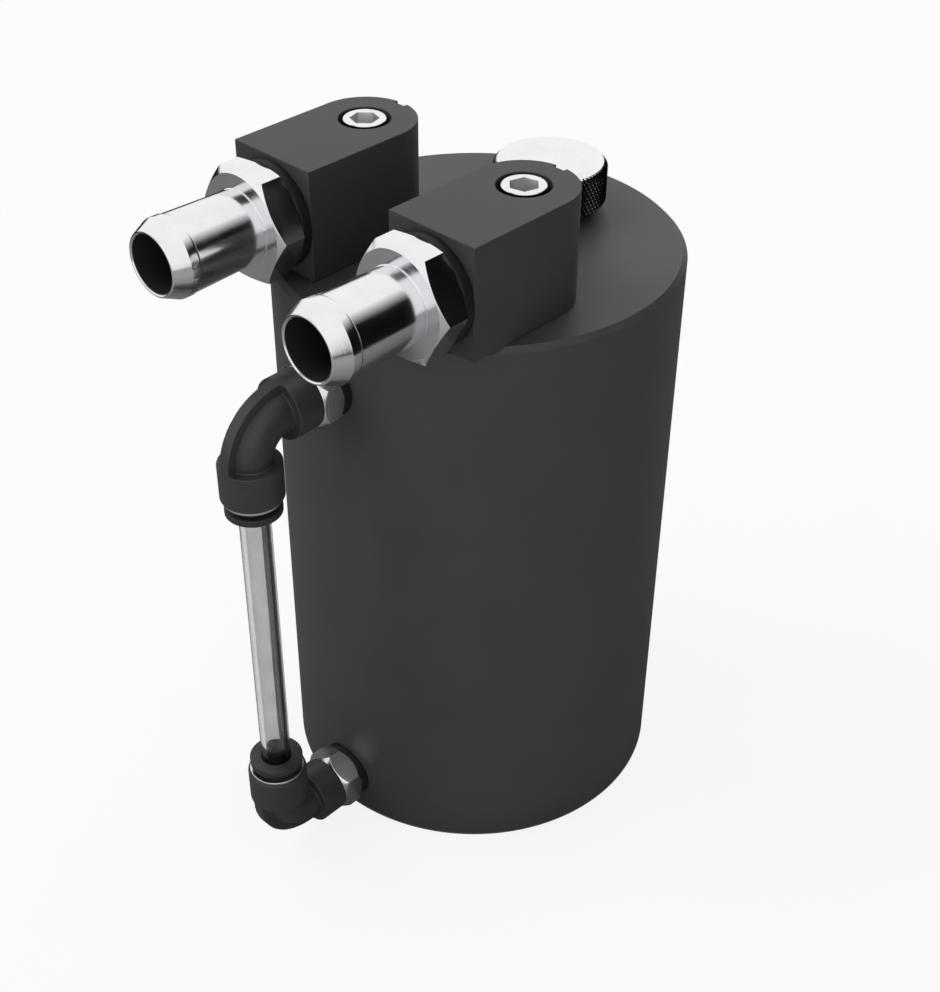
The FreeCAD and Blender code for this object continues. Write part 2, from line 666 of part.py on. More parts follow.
ELBOW_DOWN = Rotation(Vector(0, -1, 0), Vector(0, 0, -1), Vector(1, 0, 0), "XYZ")
ELBOW_UP = Rotation(Vector(0, -1, 0), Vector(0, 0, 1), Vector(-1, 0, 0), "XYZ")
SIDES = {
    "upper": (SIGHT_HIGH, "-", DOWNWARDS, ELBOW_DOWN),
    "lower": ("sightLow", "+", UPRIGHT, ELBOW_UP),
}
for side, (height, sense, turn, elbow_turn) in SIDES.items():
    hex_start = "stemThreadLength + stemSealThick"
    hex_end = hex_start + " + stemHexThick"
    blank = "stemHexFlats / sqrt(3) + stemHexInset"
    face = "stemHexFlats / 2 - stemHexInset"
    chamfer = "%s - (%s)" % (blank, face)
    stem = turned(side + "_stem", [
        ("stemBore", "0"),
        ("stemThread", "0"),
        ("stemThread", hex_start),
        (face, hex_start),
        (blank, "%s + %s" % (hex_start, chamfer)),
        (blank, "%s - (%s)" % (hex_end, chamfer)),
        (face, hex_end),
        ("stemSpigot", hex_end),
        ("stemSpigot", hex_end + " + stemSpigotLength"),
        ("stemBore", hex_end + " + stemSpigotLength"),
    ])
    cut_hexagon(stem, side + "_stem_flats", "stemHexFlats", "y", hex_start, hex_end)
    place(stem, "0", "stemThreadLength - (%s)" % STEM_SEAT, height, ALONG_NECK)
    stem_seal = ring(side + "_stem_seal", "stemThread + fitGap", "stemSealRadius", "stemSealThick")
    place(stem_seal, "0", "-(%s)" % STEM_SEAT, height, ALONG_NECK)
    elbow(side + "_elbow", elbow_turn, height)

    def along_leg(thing, distance):
        place(thing, "0", "-(%s)" % SIGHT_REACH, "%s %s (%s)" % (height, sense, distance), turn)

    tube_seal = round_ring(side + "_tube_seal", "(tubeRadius + sealRadius) / 2",
                           "sealRadius - tubeRadius - fitGap")
    along_leg(tube_seal, "sealStart + sealRoom / 2")
    grab_ring = ring(side + "_grab_ring", "tubeRadius + fitGap", "cartridgeRadius - fitGap", "grabThick")
    along_leg(grab_ring, "sealStart + sealRoom")
    sleeve = "elbowMouth - (sealStart + sealRoom + grabThick)"
    cartridge = turned(side + "_cartridge", [
        ("cartridgeRadius - fitGap - cartridgeWall", "0"),
        ("cartridgeRadius - fitGap", "0"),
        ("cartridgeRadius - fitGap", sleeve),
        ("cartridgeRim", sleeve),
        ("cartridgeRim", sleeve + " + cartridgeRimThick"),
        ("cartridgeRadius - fitGap - cartridgeWall", sleeve + " + cartridgeRimThick"),
    ])
    along_leg(cartridge, "sealStart + sealRoom + grabThick")
    collar_inner = "sealStart + sealRoom + grabThick + collarTravel + seatGap"
    flange_start = "elbowMouth + cartridgeRimThick + collarTravel + sideGap - (%s)" % collar_inner
    collar = turned(side + "_collar", [
        ("tubeRadius + fitGap", "0"),
        ("tubeRadius + fitGap + collarWall", "0"),
        ("tubeRadius + fitGap + collarWall", flange_start),
        ("collarFlange", flange_start),
        ("collarFlange", flange_start + " + collarFlangeThick"),
        ("tubeRadius + fitGap", flange_start + " + collarFlangeThick"),
    ])
    along_leg(collar, collar_inner)

sight_tube = ring("sight_tube", "tubeRadius - tubeWall", "tubeRadius",
                  SIGHT_HIGH + " - sightLow - 2 * (tubeStop + seatGap)")
place(sight_tube, along="-(%s)" % SIGHT_REACH, up="sightLow + tubeStop + seatGap")

# Check every object, then write each piece

doc.recompute()
for thing in doc.Objects:
    if "Invalid" in thing.State or "Error" in thing.State:
        raise RuntimeError("failed: " + thing.Name)
os.makedirs("parts", exist_ok=True)
for piece in kept:
    if piece.Shape.isNull() or not piece.Shape.isValid():
        raise RuntimeError("bad shape: " + piece.Label)
    if len(piece.Shape.Solids) != 1:
        raise RuntimeError("not one solid: " + piece.Label)
    piece.Shape.exportStep("parts/%s.step" % piece.Label)
    box = piece.Shape.BoundBox
    print("%-20s %9.2f mm3  z %7.2f to %7.2f" % (piece.Label, piece.Shape.Volume, box.ZMin, box.ZMax))
print("%d pieces written" % len(kept))
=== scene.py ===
import bpy
import math
from mathutils import Matrix, Vector


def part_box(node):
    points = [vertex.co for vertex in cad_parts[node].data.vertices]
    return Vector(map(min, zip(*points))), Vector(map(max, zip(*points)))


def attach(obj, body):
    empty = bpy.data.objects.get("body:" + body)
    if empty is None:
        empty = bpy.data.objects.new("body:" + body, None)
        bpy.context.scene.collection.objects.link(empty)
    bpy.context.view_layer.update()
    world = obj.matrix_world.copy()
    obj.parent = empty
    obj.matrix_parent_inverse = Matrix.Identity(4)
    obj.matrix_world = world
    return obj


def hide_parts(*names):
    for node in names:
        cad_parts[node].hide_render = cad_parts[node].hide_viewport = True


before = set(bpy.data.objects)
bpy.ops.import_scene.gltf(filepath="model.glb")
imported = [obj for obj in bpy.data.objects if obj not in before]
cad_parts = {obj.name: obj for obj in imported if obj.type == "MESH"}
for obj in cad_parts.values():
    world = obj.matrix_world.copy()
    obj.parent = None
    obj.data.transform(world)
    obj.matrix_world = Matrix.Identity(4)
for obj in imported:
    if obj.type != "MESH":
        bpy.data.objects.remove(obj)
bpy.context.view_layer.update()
mm = 0.001
hair = 0.01 * mm  # points closer than this are one point
past = 1.0 * mm  # a cutting tool reaches this far past the face it cuts


# the frame's own sizes

def boxOf(node):
    low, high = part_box(node)
    return Vector(low), Vector(high)


def middleOf(node):
    low, high = boxOf(node)
    return (low + high) / 2


# modelling helpers, each for one piece at a time

def clearSelection():
    if bpy.context.mode != "OBJECT":
        bpy.ops.object.mode_set(mode="OBJECT")
    bpy.ops.object.select_all(action="DESELECT")


def pick(piece):
    clearSelection()
    piece.select_set(True)
    bpy.context.view_layer.objects.active = piece


def editAll(piece):
    pick(piece)
    bpy.ops.object.mode_set(mode="EDIT")
    bpy.ops.mesh.select_all(action="SELECT")


def editWhere(piece, kind, test):
    # opens edit mode with only those points or faces selected whose place passes the test
    editAll(piece)
    bpy.ops.mesh.select_mode(type=kind)
    bpy.ops.mesh.select_all(action="DESELECT")
    bpy.ops.object.mode_set(mode="OBJECT")
    for item in piece.data.vertices if kind == "VERT" else piece.data.polygons:
        item.select = bool(test(item.co if kind == "VERT" else item.center))
    bpy.ops.object.mode_set(mode="EDIT")


def closeMesh(piece):
    editAll(piece)
    bpy.ops.mesh.remove_doubles(threshold=hair)
    bpy.ops.mesh.normals_make_consistent(inside=False)
    bpy.ops.object.mode_set(mode="OBJECT")


def turnOnLathe(name, profile, segments=96, ring=False):
    # profile is a list of (radius, height); a ring comes back to its first point, a solid is capped
    clearSelection()
    radius, height = profile[0]
    bpy.ops.mesh.primitive_circle_add(vertices=segments, radius=radius, location=(0, 0, height))
    piece = bpy.context.object
    piece.name = name
    piece.data.name = name
    bpy.ops.object.transform_apply(location=True, rotation=True, scale=True)
    bpy.ops.object.mode_set(mode="EDIT")
    bpy.ops.mesh.select_all(action="SELECT")
    if not ring:
        bpy.ops.mesh.edge_face_add()
        bpy.ops.mesh.select_all(action="SELECT")
    steps = profile[1:] + profile[:1] if ring else profile[1:]
    for nextRadius, nextHeight in steps:
        bpy.ops.mesh.extrude_region_move(
            MESH_OT_extrude_region={"use_normal_flip": False},
            TRANSFORM_OT_translate={"value": (0, 0, nextHeight - height)})
        scale = nextRadius / radius
        bpy.ops.transform.resize(value=(scale, scale, 1), center_override=(0, 0, nextHeight))
        radius, height = nextRadius, nextHeight
    bpy.ops.object.mode_set(mode="OBJECT")
    closeMesh(piece)
    return piece


def arcPoints(centreRadius, centreHeight, arcRadius, startDegrees, endDegrees, count):
    # points on an arc in the profile plane, for fillets and beads
    points = []
    for index in range(count + 1):
        angle = math.radians(startDegrees + (endDegrees - startDegrees) * index / count)
        points.append((centreRadius + arcRadius * math.cos(angle),
                       centreHeight + arcRadius * math.sin(angle)))
    return points


def hexagonBar(name, flats, length, start, cornerAlongX=True):
    clearSelection()
    bpy.ops.mesh.primitive_cylinder_add(vertices=6, radius=flats / 2 / math.cos(math.pi / 6), depth=length,
                                        location=(0, 0, start + length / 2))
    piece = bpy.context.object
    piece.name = name
    if cornerAlongX:
        piece.rotation_euler.z = math.pi / 2
    bpy.ops.object.transform_apply(location=True, rotation=True, scale=True)
    return piece


def useModifier(piece, kind, **settings):
    pick(piece)
    modifier = piece.modifiers.new(kind.title(), kind)
    for key, value in settings.items():
        setattr(modifier, key, value)
    bpy.ops.object.modifier_apply(modifier=modifier.name)


def combine(piece, tool, operation):
    useModifier(piece, "BOOLEAN", object=tool, operation=operation, solver="EXACT")
    bpy.data.objects.remove(tool, do_unlink=True)


def easeEdges(piece, width, degrees=40):
    useModifier(piece, "BEVEL", width=width, segments=2, limit_method="ANGLE",
                angle_limit=math.radians(degrees), harden_normals=False, use_clamp_overlap=True)


def softShade(piece, degrees=28, flatFaces=False):
    pick(piece)
    bpy.ops.object.shade_smooth_by_angle(angle=math.radians(degrees))
    if flatFaces:
        useModifier(piece, "WEIGHTED_NORMAL", keep_sharp=True, weight=100)


def settle(piece, location=(0, 0, 0), turn=(0, 0, 0)):
    pick(piece)
    piece.location = location
    piece.rotation_euler = [math.radians(angle) for angle in turn]
    bpy.ops.object.transform_apply(location=True, rotation=True, scale=True)
    return piece


def fit(piece, body, slotName, material, *nodes):
    piece.data.materials.clear()
    piece.data.materials.append(material)
    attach(piece, body)
    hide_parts(*nodes)


# shader helpers

class Flow:
    def __init__(self, tree, socket):
        self.tree = tree
        self.socket = socket

    def calc(self, operation, other, swap=False):
        first, second = (other, self) if swap else (self, other)
        return self.tree.add("ShaderNodeMath", {"operation": operation}, {0: first, 1: second})

    def __add__(self, other):
        return self.calc("ADD", other)

    __radd__ = __add__

    def __mul__(self, other):
        return self.calc("MULTIPLY", other)

    __rmul__ = __mul__

    def __sub__(self, other):
        return self.calc("SUBTRACT", other)

    def __rsub__(self, other):
        return self.calc("SUBTRACT", other, swap=True)

    def __pow__(self, other):
        return self.calc("POWER", other)


class Tree:
    def __init__(self, owner, outputKind):
        owner.use_nodes = True
        self.nodes = owner.node_tree.nodes
        self.links = owner.node_tree.links
        self.nodes.clear()
        self.output = self.nodes.new(outputKind)

    def feed(self, socket, value):
        if isinstance(value, Flow):
            self.links.new(value.socket, socket)
        else:
            socket.default_value = value

    def add(self, kind, settings=None, values=None, output=0):
        node = self.nodes.new(kind)
        for key, value in (settings or {}).items():
            setattr(node, key, value)
        for key, value in (values or {}).items():
            self.feed(node.inputs[key], value)
        return Flow(self, node.outputs[output])

    def seenRays(self):
        # 1 where the camera, a reflection or a clear part looks at the backdrop, 0 for light on the object
        flags = [self.add("ShaderNodeLightPath", output=name)
                 for name in ("Is Camera Ray", "Is Glossy Ray", "Is Transmission Ray")]
        return flags[0].calc("MAXIMUM", flags[1]).calc("MAXIMUM", flags[2])


class Finish(Tree):
    def __init__(self, name):
        self.material = bpy.data.materials.new(name)
        super().__init__(self.material, "ShaderNodeOutputMaterial")
        self.surface = self.add("ShaderNodeBsdfPrincipled")
        self.feed(self.output.inputs["Surface"], self.surface)

    def place(self, centre=(0, 0, 0), scale=(1, 1, 1)):
        # object coordinates about a centre; the scale stretches the pattern
        spot = self.add("ShaderNodeTexCoord", output="Object")
        moved = self.add("ShaderNodeVectorMath", {"operation": "SUBTRACT"}, {0: spot, 1: tuple(centre)})
        return self.add("ShaderNodeVectorMath", {"operation": "MULTIPLY"}, {0: moved, 1: tuple(scale)})

    def noise(self, where, scale, detail=3.0, roughness=0.5):
        return self.add("ShaderNodeTexNoise", {}, {"Vector": where, "Scale": scale, "Detail": detail,
                                                   "Roughness": roughness})

    def spread(self, flow, low, high, fromLow=0.3, fromHigh=0.7):
        return self.add("ShaderNodeMapRange", {}, {"Value": flow, "From Min": fromLow, "From Max": fromHigh,
                                                   "To Min": low, "To Max": high})

    def tint(self, factor, first, second):
        return self.add("ShaderNodeMix", {"data_type": "RGBA"}, {0: factor, 6: first, 7: second}, 2)

    def relief(self, height, strength, distance):
        return self.add("ShaderNodeBump", {}, {"Height": height, "Strength": strength, "Distance": distance})

    def set(self, **sockets):
        for key, value in sockets.items():
            self.feed(self.surface.socket.node.inputs[key.replace("_", " ")], value)
        return self.material

    def blend(self, factor, other):
        # another shader takes the place of the surface as the factor goes to 1
        mixed = self.add("ShaderNodeMixShader", {}, {0: factor, 1: self.surface, 2: other})
        self.feed(self.output.inputs["Surface"], mixed)


def grey(value):
    # a grey with a trace of blue
    return (value, value, value * 1.02, 1.0)


def rings(finish, centre, axis):
    # coordinates that change only along and away from an axis, as marks left by a lathe do
    split = finish.add("ShaderNodeSeparateXYZ", {}, {0: finish.place(centre)}).socket.node
    parts = {name: Flow(finish, split.outputs[name]) for name in "XYZ"}
    away = [parts[name] for name in "XYZ" if name != axis]
    distance = (away[0] * away[0] + away[1] * away[1]) ** 0.5
    return finish.add("ShaderNodeCombineXYZ", {}, {"X": distance, "Y": parts[axis], "Z": 0.0})


canFinish = {
    "tone": 0.050, "spread": 0.004, "roughness": (0.42, 0.51), "gloss": 0.45, "cloudScale": 45.0,
    "markScale": 1800.0, "marks": 0.05, "grainScale": 2600.0, "grain": 0.05, "relief": 0.4 * mm,
}
blockFinish = {
    "tone": 0.048, "spread": 0.004, "roughness": (0.43, 0.53), "gloss": 0.30, "cloudScale": 60.0,
    "markScale": 1500.0, "marks": 0.08, "grainScale": 2600.0, "grain": 0.05, "relief": 0.3 * mm,
    "millStretch": (1.0, 0.04, 1.0),
}


def blackAnodised(name, plan, centre, turned=True):
    # marks run round the upright axis where the piece is turned, and lengthways where it is milled
    finish = Finish(name)
    where = rings(finish, centre, "Z") if turned else finish.place(centre, plan["millStretch"])
    marks = finish.noise(where, plan["markScale"], 2.0, 0.6)
    cloud = finish.noise(finish.place(), plan["cloudScale"], 4.0, 0.55)
    grain = finish.noise(finish.place(), plan["grainScale"], 1.0)
    tone = finish.tint(finish.spread(cloud, 0.0, 1.0), grey(plan["tone"] - plan["spread"]),
                       grey(plan["tone"] + plan["spread"]))
    height = marks * plan["marks"] + grain * plan["grain"]
    return finish.set(Base_Color=tone, Roughness=finish.spread(cloud, *plan["roughness"]),
                      Specular_IOR_Level=plan["gloss"], Normal=finish.relief(height, 0.35, plan["relief"]))


# the bore, skirt and groove tones are painted shade: in the bore, on a bolt head below its rim, in a knurl's
# grooves
metalFinish = {
    "markScale": 2200.0, "smearScale": 160.0, "darker": 0.05, "lighter": 0.03, "markRoughness": 0.04,
    "boreShadeTone": 0.02, "boreRoughness": 0.35, "wellTone": 0.62, "skirtShadeTone": 0.05, "wellRoughness": 0.2,
    "grooveShadeTone": 0.02, "grooveDepth": 0.7 * mm, "relief": 0.3 * mm, "soft": 0.1 * mm,
}


def brightTurned(name, centre, axis, tone=0.86, roughness=0.14, lathe=0.10, bore=0.0, well=None,
                 grooves=None):
    # bore is the radius of a hole whose inside is painted near black as shade, well the radius and rim height
    # of a tool socket whose head's side below the rim is painted dark as shade, and grooves gives the radii
    # between which a knurl's grooves are painted dark as shade, and its upper end
    finish = Finish(name)
    plan = metalFinish
    soft = plan["soft"]
    turned = rings(finish, centre, axis)
    marks = finish.noise(turned, plan["markScale"], 2.0, 0.7)
    smear = finish.noise(finish.place(), plan["smearScale"], 4.0, 0.6)
    colour = finish.tint(finish.spread(smear, 0.0, 1.0), grey(tone - plan["darker"]),
                         grey(tone + plan["lighter"]))
    rough = finish.spread(smear, roughness - 0.04, roughness + 0.05) + marks * plan["markRoughness"]
    distance = finish.add("ShaderNodeSeparateXYZ", {}, {0: turned}, "X")
    height = finish.add("ShaderNodeSeparateXYZ", {}, {0: turned}, "Y")
    metal = 1.0
    # painted shade: the inside of the bore is made near black and less metallic
    if bore:
        inside = finish.spread(distance, 1.0, 0.0, bore + 0.5 * soft, bore + 1.5 * soft)
        colour = finish.tint(inside, colour, grey(plan["boreShadeTone"]))
        rough = rough + inside * plan["boreRoughness"]
        metal = 1.0 - inside * 0.9
    if well:
        radius, top = well
        below = finish.spread(height, 1.0, 0.0, top - 1.2 * soft, top - 0.4 * soft)
        inside = finish.spread(distance, 1.0, 0.0, radius, radius + soft) * below
        # painted shade on the head's side below the rim, where it stands in the counterbore's gap
        skirtShade = finish.spread(distance, 0.0, 1.0, radius + 3 * soft, radius + 4 * soft) * below
        colour = finish.tint(inside, colour, grey(plan["wellTone"]))
        colour = finish.tint(skirtShade, colour, grey(plan["skirtShadeTone"]))
        rough = rough + inside * plan["wellRoughness"]
    # painted shade in the knurl's pressed grooves
    if grooves:
        low, high, top = grooves
        floor = low - plan["grooveDepth"]
        grooveShade = finish.spread(distance, 1.0, 0.0, low, high) * finish.spread(height, 1.0, 0.0, top - soft, top)
        grooveShade = grooveShade * finish.spread(distance, 0.0, 1.0, floor - soft, floor)
        colour = finish.tint(grooveShade, colour, grey(plan["grooveShadeTone"]))
    return finish.set(Base_Color=colour, Roughness=rough, Metallic=metal,
                      Normal=finish.relief(marks, lathe, plan["relief"]))


def boltSteel(name, centre, well=None):
    return brightTurned(name, centre, "Z", 0.86, 0.2, 0.08, well=well)


plasticFinish = {"grainScale": 3200.0, "flowScale": 140.0, "spread": 0.15, "relief": 0.3 * mm}


def mouldedPlastic(name, tone, roughness):
    finish = Finish(name)
    plan = plasticFinish
    grain = finish.noise(finish.place(), plan["grainScale"], 2.0, 0.6)
    flow = finish.noise(finish.place(), plan["flowScale"], 3.0, 0.5)
    colour = finish.tint(finish.spread(flow, 0.0, 1.0), grey(tone * (1 - plan["spread"])),
                         grey(tone * (1 + plan["spread"])))
    rough = finish.spread(flow, roughness - 0.05, roughness + 0.05) + grain * 0.04
    return finish.set(Base_Color=colour, Roughness=rough, Normal=finish.relief(grain, 0.12, plan["relief"]))


rubberFinish = {"bloomScale": 900.0, "tones": (0.007, 0.012), "roughness": (0.5, 0.62), "relief": 0.3 * mm}


def sealRubber(name):
    finish = Finish(name)
    bloom = finish.noise(finish.place(), rubberFinish["bloomScale"], 4.0, 0.6)
    colour = finish.tint(finish.spread(bloom, 0.0, 1.0), *map(grey, rubberFinish["tones"]))
    return finish.set(Base_Color=colour, Roughness=finish.spread(bloom, *rubberFinish["roughness"]),
                      Specular_IOR_Level=0.3, Normal=finish.relief(bloom, 0.15, rubberFinish["relief"]))


tubeFinish = {
    "drawScale": 1400.0, "drawStretch": (1.0, 1.0, 0.02), "hazeScale": 220.0, "roughness": (0.03, 0.07),
    "dark": (0.60, 0.61, 0.61, 1.0), "light": (0.68, 0.69, 0.69, 1.0), "relief": 0.3 * mm,
}


def clearTube(name, centre):
    finish = Finish(name)
    plan = tubeFinish
    draw = finish.noise(finish.place(centre, plan["drawStretch"]), plan["drawScale"], 2.0, 0.5)
    haze = finish.noise(finish.place(), plan["hazeScale"], 3.0, 0.5)
    colour = finish.tint(finish.spread(haze, 0.0, 1.0), plan["dark"], plan["light"])
    return finish.set(Base_Color=colour, Roughness=finish.spread(haze, *plan["roughness"]), IOR=1.45,
                      Transmission_Weight=1.0, Normal=finish.relief(draw, 0.04, plan["relief"]))


# finishes that several pieces share

tubeAxis = middleOf("sight_tube")
blackCan = blackAnodised("black_can", canFinish, (0, 0, 0))
blackBase = blackAnodised("black_base", canFinish, (0, 0, 0))
blackRubber = sealRubber("black_rubber")
blackNylon = mouldedPlastic("black_nylon", 0.036, 0.44)
collarNylon = mouldedPlastic("collar_nylon", 0.028, 0.42)
springRing = brightTurned("spring_ring", (0, tubeAxis.y, 0), "Z", 0.75, 0.2, 0.06)
bareMetal = brightTurned("bare_metal", (0, 0, 0), "Z", 0.62, 0.38, 0.15)
softWasher = brightTurned("soft_washer", (0, 0, 0), "Z", 0.6, 0.4, 0.1)
print("finishes ready")


# can: one turned shell with its top plate and holes

canShape = {
    "rim": 1.0 * mm, "segments": 256, "top": 9.0 * mm, "lidRing": 8.0 * mm, "spotGap": 0.1 * mm,
    "spotDepth": 3.0 * mm, "boltHole": 4.05 * mm, "capHole": 6.05 * mm, "drillDepth": 12.0 * mm,
    "edge": 0.12 * mm,
}
canRadius = boxOf("can_body")[1].x
canTop = boxOf("can_body")[1].z


def makeCan():
    wall = canRadius - boxOf("baffle_plate")[1].x
    seat = boxOf("base_plate")[1].x
    can = turnOnLathe("can_shell", [
        (canRadius - wall, canTop - canShape["top"]),
        (canRadius - wall, boxOf("base_seal")[1].z),
        (seat, boxOf("base_seal")[1].z),
        (seat, 0.0),
        (canRadius, 0.0),
        (canRadius, canTop - canShape["rim"]),
        (canRadius - canShape["rim"], canTop),
        (canRadius - canShape["lidRing"], canTop),
    ], canShape["segments"])
    for node in ("upper_stem", "lower_stem"):
        seal = boxOf(node + "_seal")
        radius = (seal[1] - seal[0]).x / 2 + canShape["spotGap"]
        spot = turnOnLathe("spot_tool", [(radius, 0.0), (radius, canShape["spotDepth"])])
        combine(can, settle(spot, (0, seal[1].y, middleOf(node).z), (90, 0, 0)), "DIFFERENCE")
    for node, radius in (("banjo_bolt_left", canShape["boltHole"]),
                         ("banjo_bolt_right", canShape["boltHole"]),
                         ("filler_cap", canShape["capHole"])):
        middle = middleOf(node)
        drill = turnOnLathe("drill_tool", [(radius, canTop - canShape["drillDepth"]),
                                           (radius, canTop + 2 * past)])
        combine(can, settle(drill, (middle.x, middle.y, 0)), "DIFFERENCE")
    easeEdges(can, canShape["edge"])
    softShade(can, 25, flatFaces=True)
    fit(can, "root", "black_anodised", blackCan, "can_body")


makeCan()
print("can ready")

# base plate and drain plug, seen from below

baseShape = {
    "edge": 0.5 * mm, "spigotInset": 1.15 * mm, "spigotHeight": 1.8 * mm, "floorRing": 10.0 * mm,
    "bossRadius": 9.5 * mm, "bossStart": 2.0 * mm, "counterbore": 7.35 * mm, "depth": 3.5 * mm,
    "drill": 5.05 * mm, "eased": 0.15 * mm,
}
drainShape = {
    "headEdge": 0.5 * mm, "headThick": 2.6 * mm, "thread": 5.0 * mm, "lead": 0.8 * mm, "key": 5.0 * mm,
    "keyDepth": 4.0 * mm, "eased": 0.12 * mm,
}


def makeBase():
    high = boxOf("base_plate")[1]
    drain = middleOf("drain_plug")
    flange = boxOf("base_seal")[0].z
    spigot = boxOf("base_seal")[1].x - baseShape["spigotInset"]
    plate = turnOnLathe("base_plate_turned", [
        (high.x - baseShape["edge"], 0.0),
        (high.x, baseShape["edge"]),
        (high.x, flange),
        (spigot, flange),
        (spigot, flange + baseShape["spigotHeight"]),
        (baseShape["floorRing"], flange + baseShape["spigotHeight"]),
    ], 192)
    boss = turnOnLathe("boss", [(baseShape["bossRadius"], baseShape["bossStart"]),
                                (baseShape["bossRadius"], high.z)])
    combine(plate, settle(boss, (drain.x, drain.y, 0)), "UNION")
    for radius, top in ((baseShape["counterbore"], baseShape["depth"]), (baseShape["drill"], high.z + past)):
        drill = turnOnLathe("drill_tool", [(radius, -past), (radius, top)])
        combine(plate, settle(drill, (drain.x, drain.y, 0)), "DIFFERENCE")
    easeEdges(plate, baseShape["eased"], 50)
    softShade(plate)
    fit(plate, "root", "black_anodised", blackBase, "base_plate")


def makeDrainPlug():
    low, high = boxOf("drain_plug")
    middle = middleOf("drain_plug")
    head = (high.x - low.x) / 2
    shape = drainShape
    plug = turnOnLathe("drain_plug_turned", [
        (head - shape["headEdge"], low.z),
        (head, low.z + shape["headEdge"]),
        (head, low.z + shape["headThick"]),
        (shape["thread"], low.z + shape["headThick"]),
        (shape["thread"], high.z - shape["lead"]),
        (shape["thread"] - shape["lead"], high.z),
    ], 128)
    socket = hexagonBar("socket_tool", shape["key"], shape["keyDepth"] + past, low.z - past)
    combine(plug, socket, "DIFFERENCE")
    easeEdges(plug, shape["eased"])
    settle(plug, (middle.x, middle.y, 0))
    softShade(plug)
    fit(plug, "root", "bolt_steel", boltSteel("drain_steel", (middle.x, middle.y, 0)), "drain_plug")


makeBase()
makeDrainPlug()
print("base plate and drain plug ready")

# hose necks: block, barb, seal and hollow bolt on each side

blockShape = {
    "edge": 0.16 * mm, "counterbore": 5.0 * mm, "counterboreDepth": 5.0 * mm, "holeEdge": 0.15 * mm,
    "boltHole": 4.05 * mm, "notchWidth": 2.4 * mm, "notchDepth": 0.9 * mm, "notchLength": 30.0 * mm,
    "port": 6.6 * mm, "portDepth": 10.0 * mm,
}


def makeBlock(side):
    shape = blockShape
    low, high = boxOf("port_block_" + side)
    bolt = middleOf("banjo_bolt_" + side)
    port = middleOf("hose_barb_" + side).z
    half = (high.x - low.x) / 2
    clearSelection()
    bpy.ops.mesh.primitive_circle_add(vertices=128, radius=half, location=(0, 0, low.z))
    block = bpy.context.object
    block.name = block.data.name = "port_block_milled_" + side
    bpy.ops.object.transform_apply(location=True, rotation=True, scale=True)
    # keep the half circle at the back, draw its ends forward and close the front
    editWhere(block, "VERT", lambda spot: spot.y < -hair)
    bpy.ops.mesh.delete(type="VERT")
    editWhere(block, "VERT", lambda spot: abs(spot.y) < hair)
    bpy.ops.mesh.extrude_region_move(TRANSFORM_OT_translate={"value": (0, low.y - bolt.y, 0)})
    bpy.ops.mesh.edge_face_add()
    bpy.ops.mesh.select_all(action="SELECT")
    bpy.ops.mesh.edge_face_add()
    bpy.ops.mesh.select_all(action="SELECT")
    bpy.ops.mesh.extrude_region_move(TRANSFORM_OT_translate={"value": (0, 0, high.z - low.z)})
    closeMesh(block)
    clearSelection()
    bpy.ops.mesh.primitive_cube_add(size=1, location=(0, half, (low.z + high.z) / 2))
    notch = bpy.context.object
    notch.scale = (shape["notchWidth"], 2 * shape["notchDepth"], shape["notchLength"])
    bpy.ops.object.transform_apply(location=True, rotation=True, scale=True)
    combine(block, notch, "DIFFERENCE")
    easeEdges(block, shape["edge"])
    bore = turnOnLathe("bore_tool", [
        (shape["boltHole"], low.z - past),
        (shape["boltHole"], high.z - shape["counterboreDepth"]),
        (shape["counterbore"], high.z - shape["counterboreDepth"]),
        (shape["counterbore"], high.z - shape["holeEdge"]),
        (shape["counterbore"] + 2 * shape["holeEdge"], high.z + shape["holeEdge"]),
    ], 128)
    combine(block, bore, "DIFFERENCE")
    reach = bolt.y - low.y
    tap = turnOnLathe("tap_tool", [
        (barbShape["bore"], 0.0),
        (barbShape["bore"], reach - shape["portDepth"]),
        (shape["port"], reach - shape["portDepth"]),
        (shape["port"], reach + past),
    ])
    combine(block, settle(tap, (0, 0, port), (90, 0, 0)), "DIFFERENCE")
    settle(block, (bolt.x, bolt.y, 0))
    softShade(block, 50, flatFaces=True)
    black = blackAnodised("black_block_" + side, blockFinish, (bolt.x, bolt.y, 0), turned=False)
    fit(block, "neck_" + side, "block_black", black, "port_block_" + side)


barbShape = {
    "bore": 5.5 * mm, "barrel": 7.0 * mm, "foot": 0.25 * mm, "hexBack": 25.1 * mm, "hexFront": 31.0 * mm,
    "beadRadius": 7.55 * mm, "beadStart": 46.2 * mm, "beadEnd": 48.0 * mm, "lead": 6.05 * mm,
    "tip": 51.05 * mm, "tail": 6.5 * mm, "tailStart": 13.1 * mm, "boreEdge": 0.3 * mm, "tailLead": 0.6 * mm,
    "beadRound": 1.1 * mm, "noseRound": 0.5 * mm, "tipRound": 0.3 * mm, "hexEdge": 0.10 * mm,
    "hexInset": 0.05 * mm, "cutLength": 10.0 * mm, "rootDepth": 1.0 * mm, "beadRise": 0.1 * mm,
    "beadFall": 0.3 * mm, "overlap": 0.3 * mm,
}


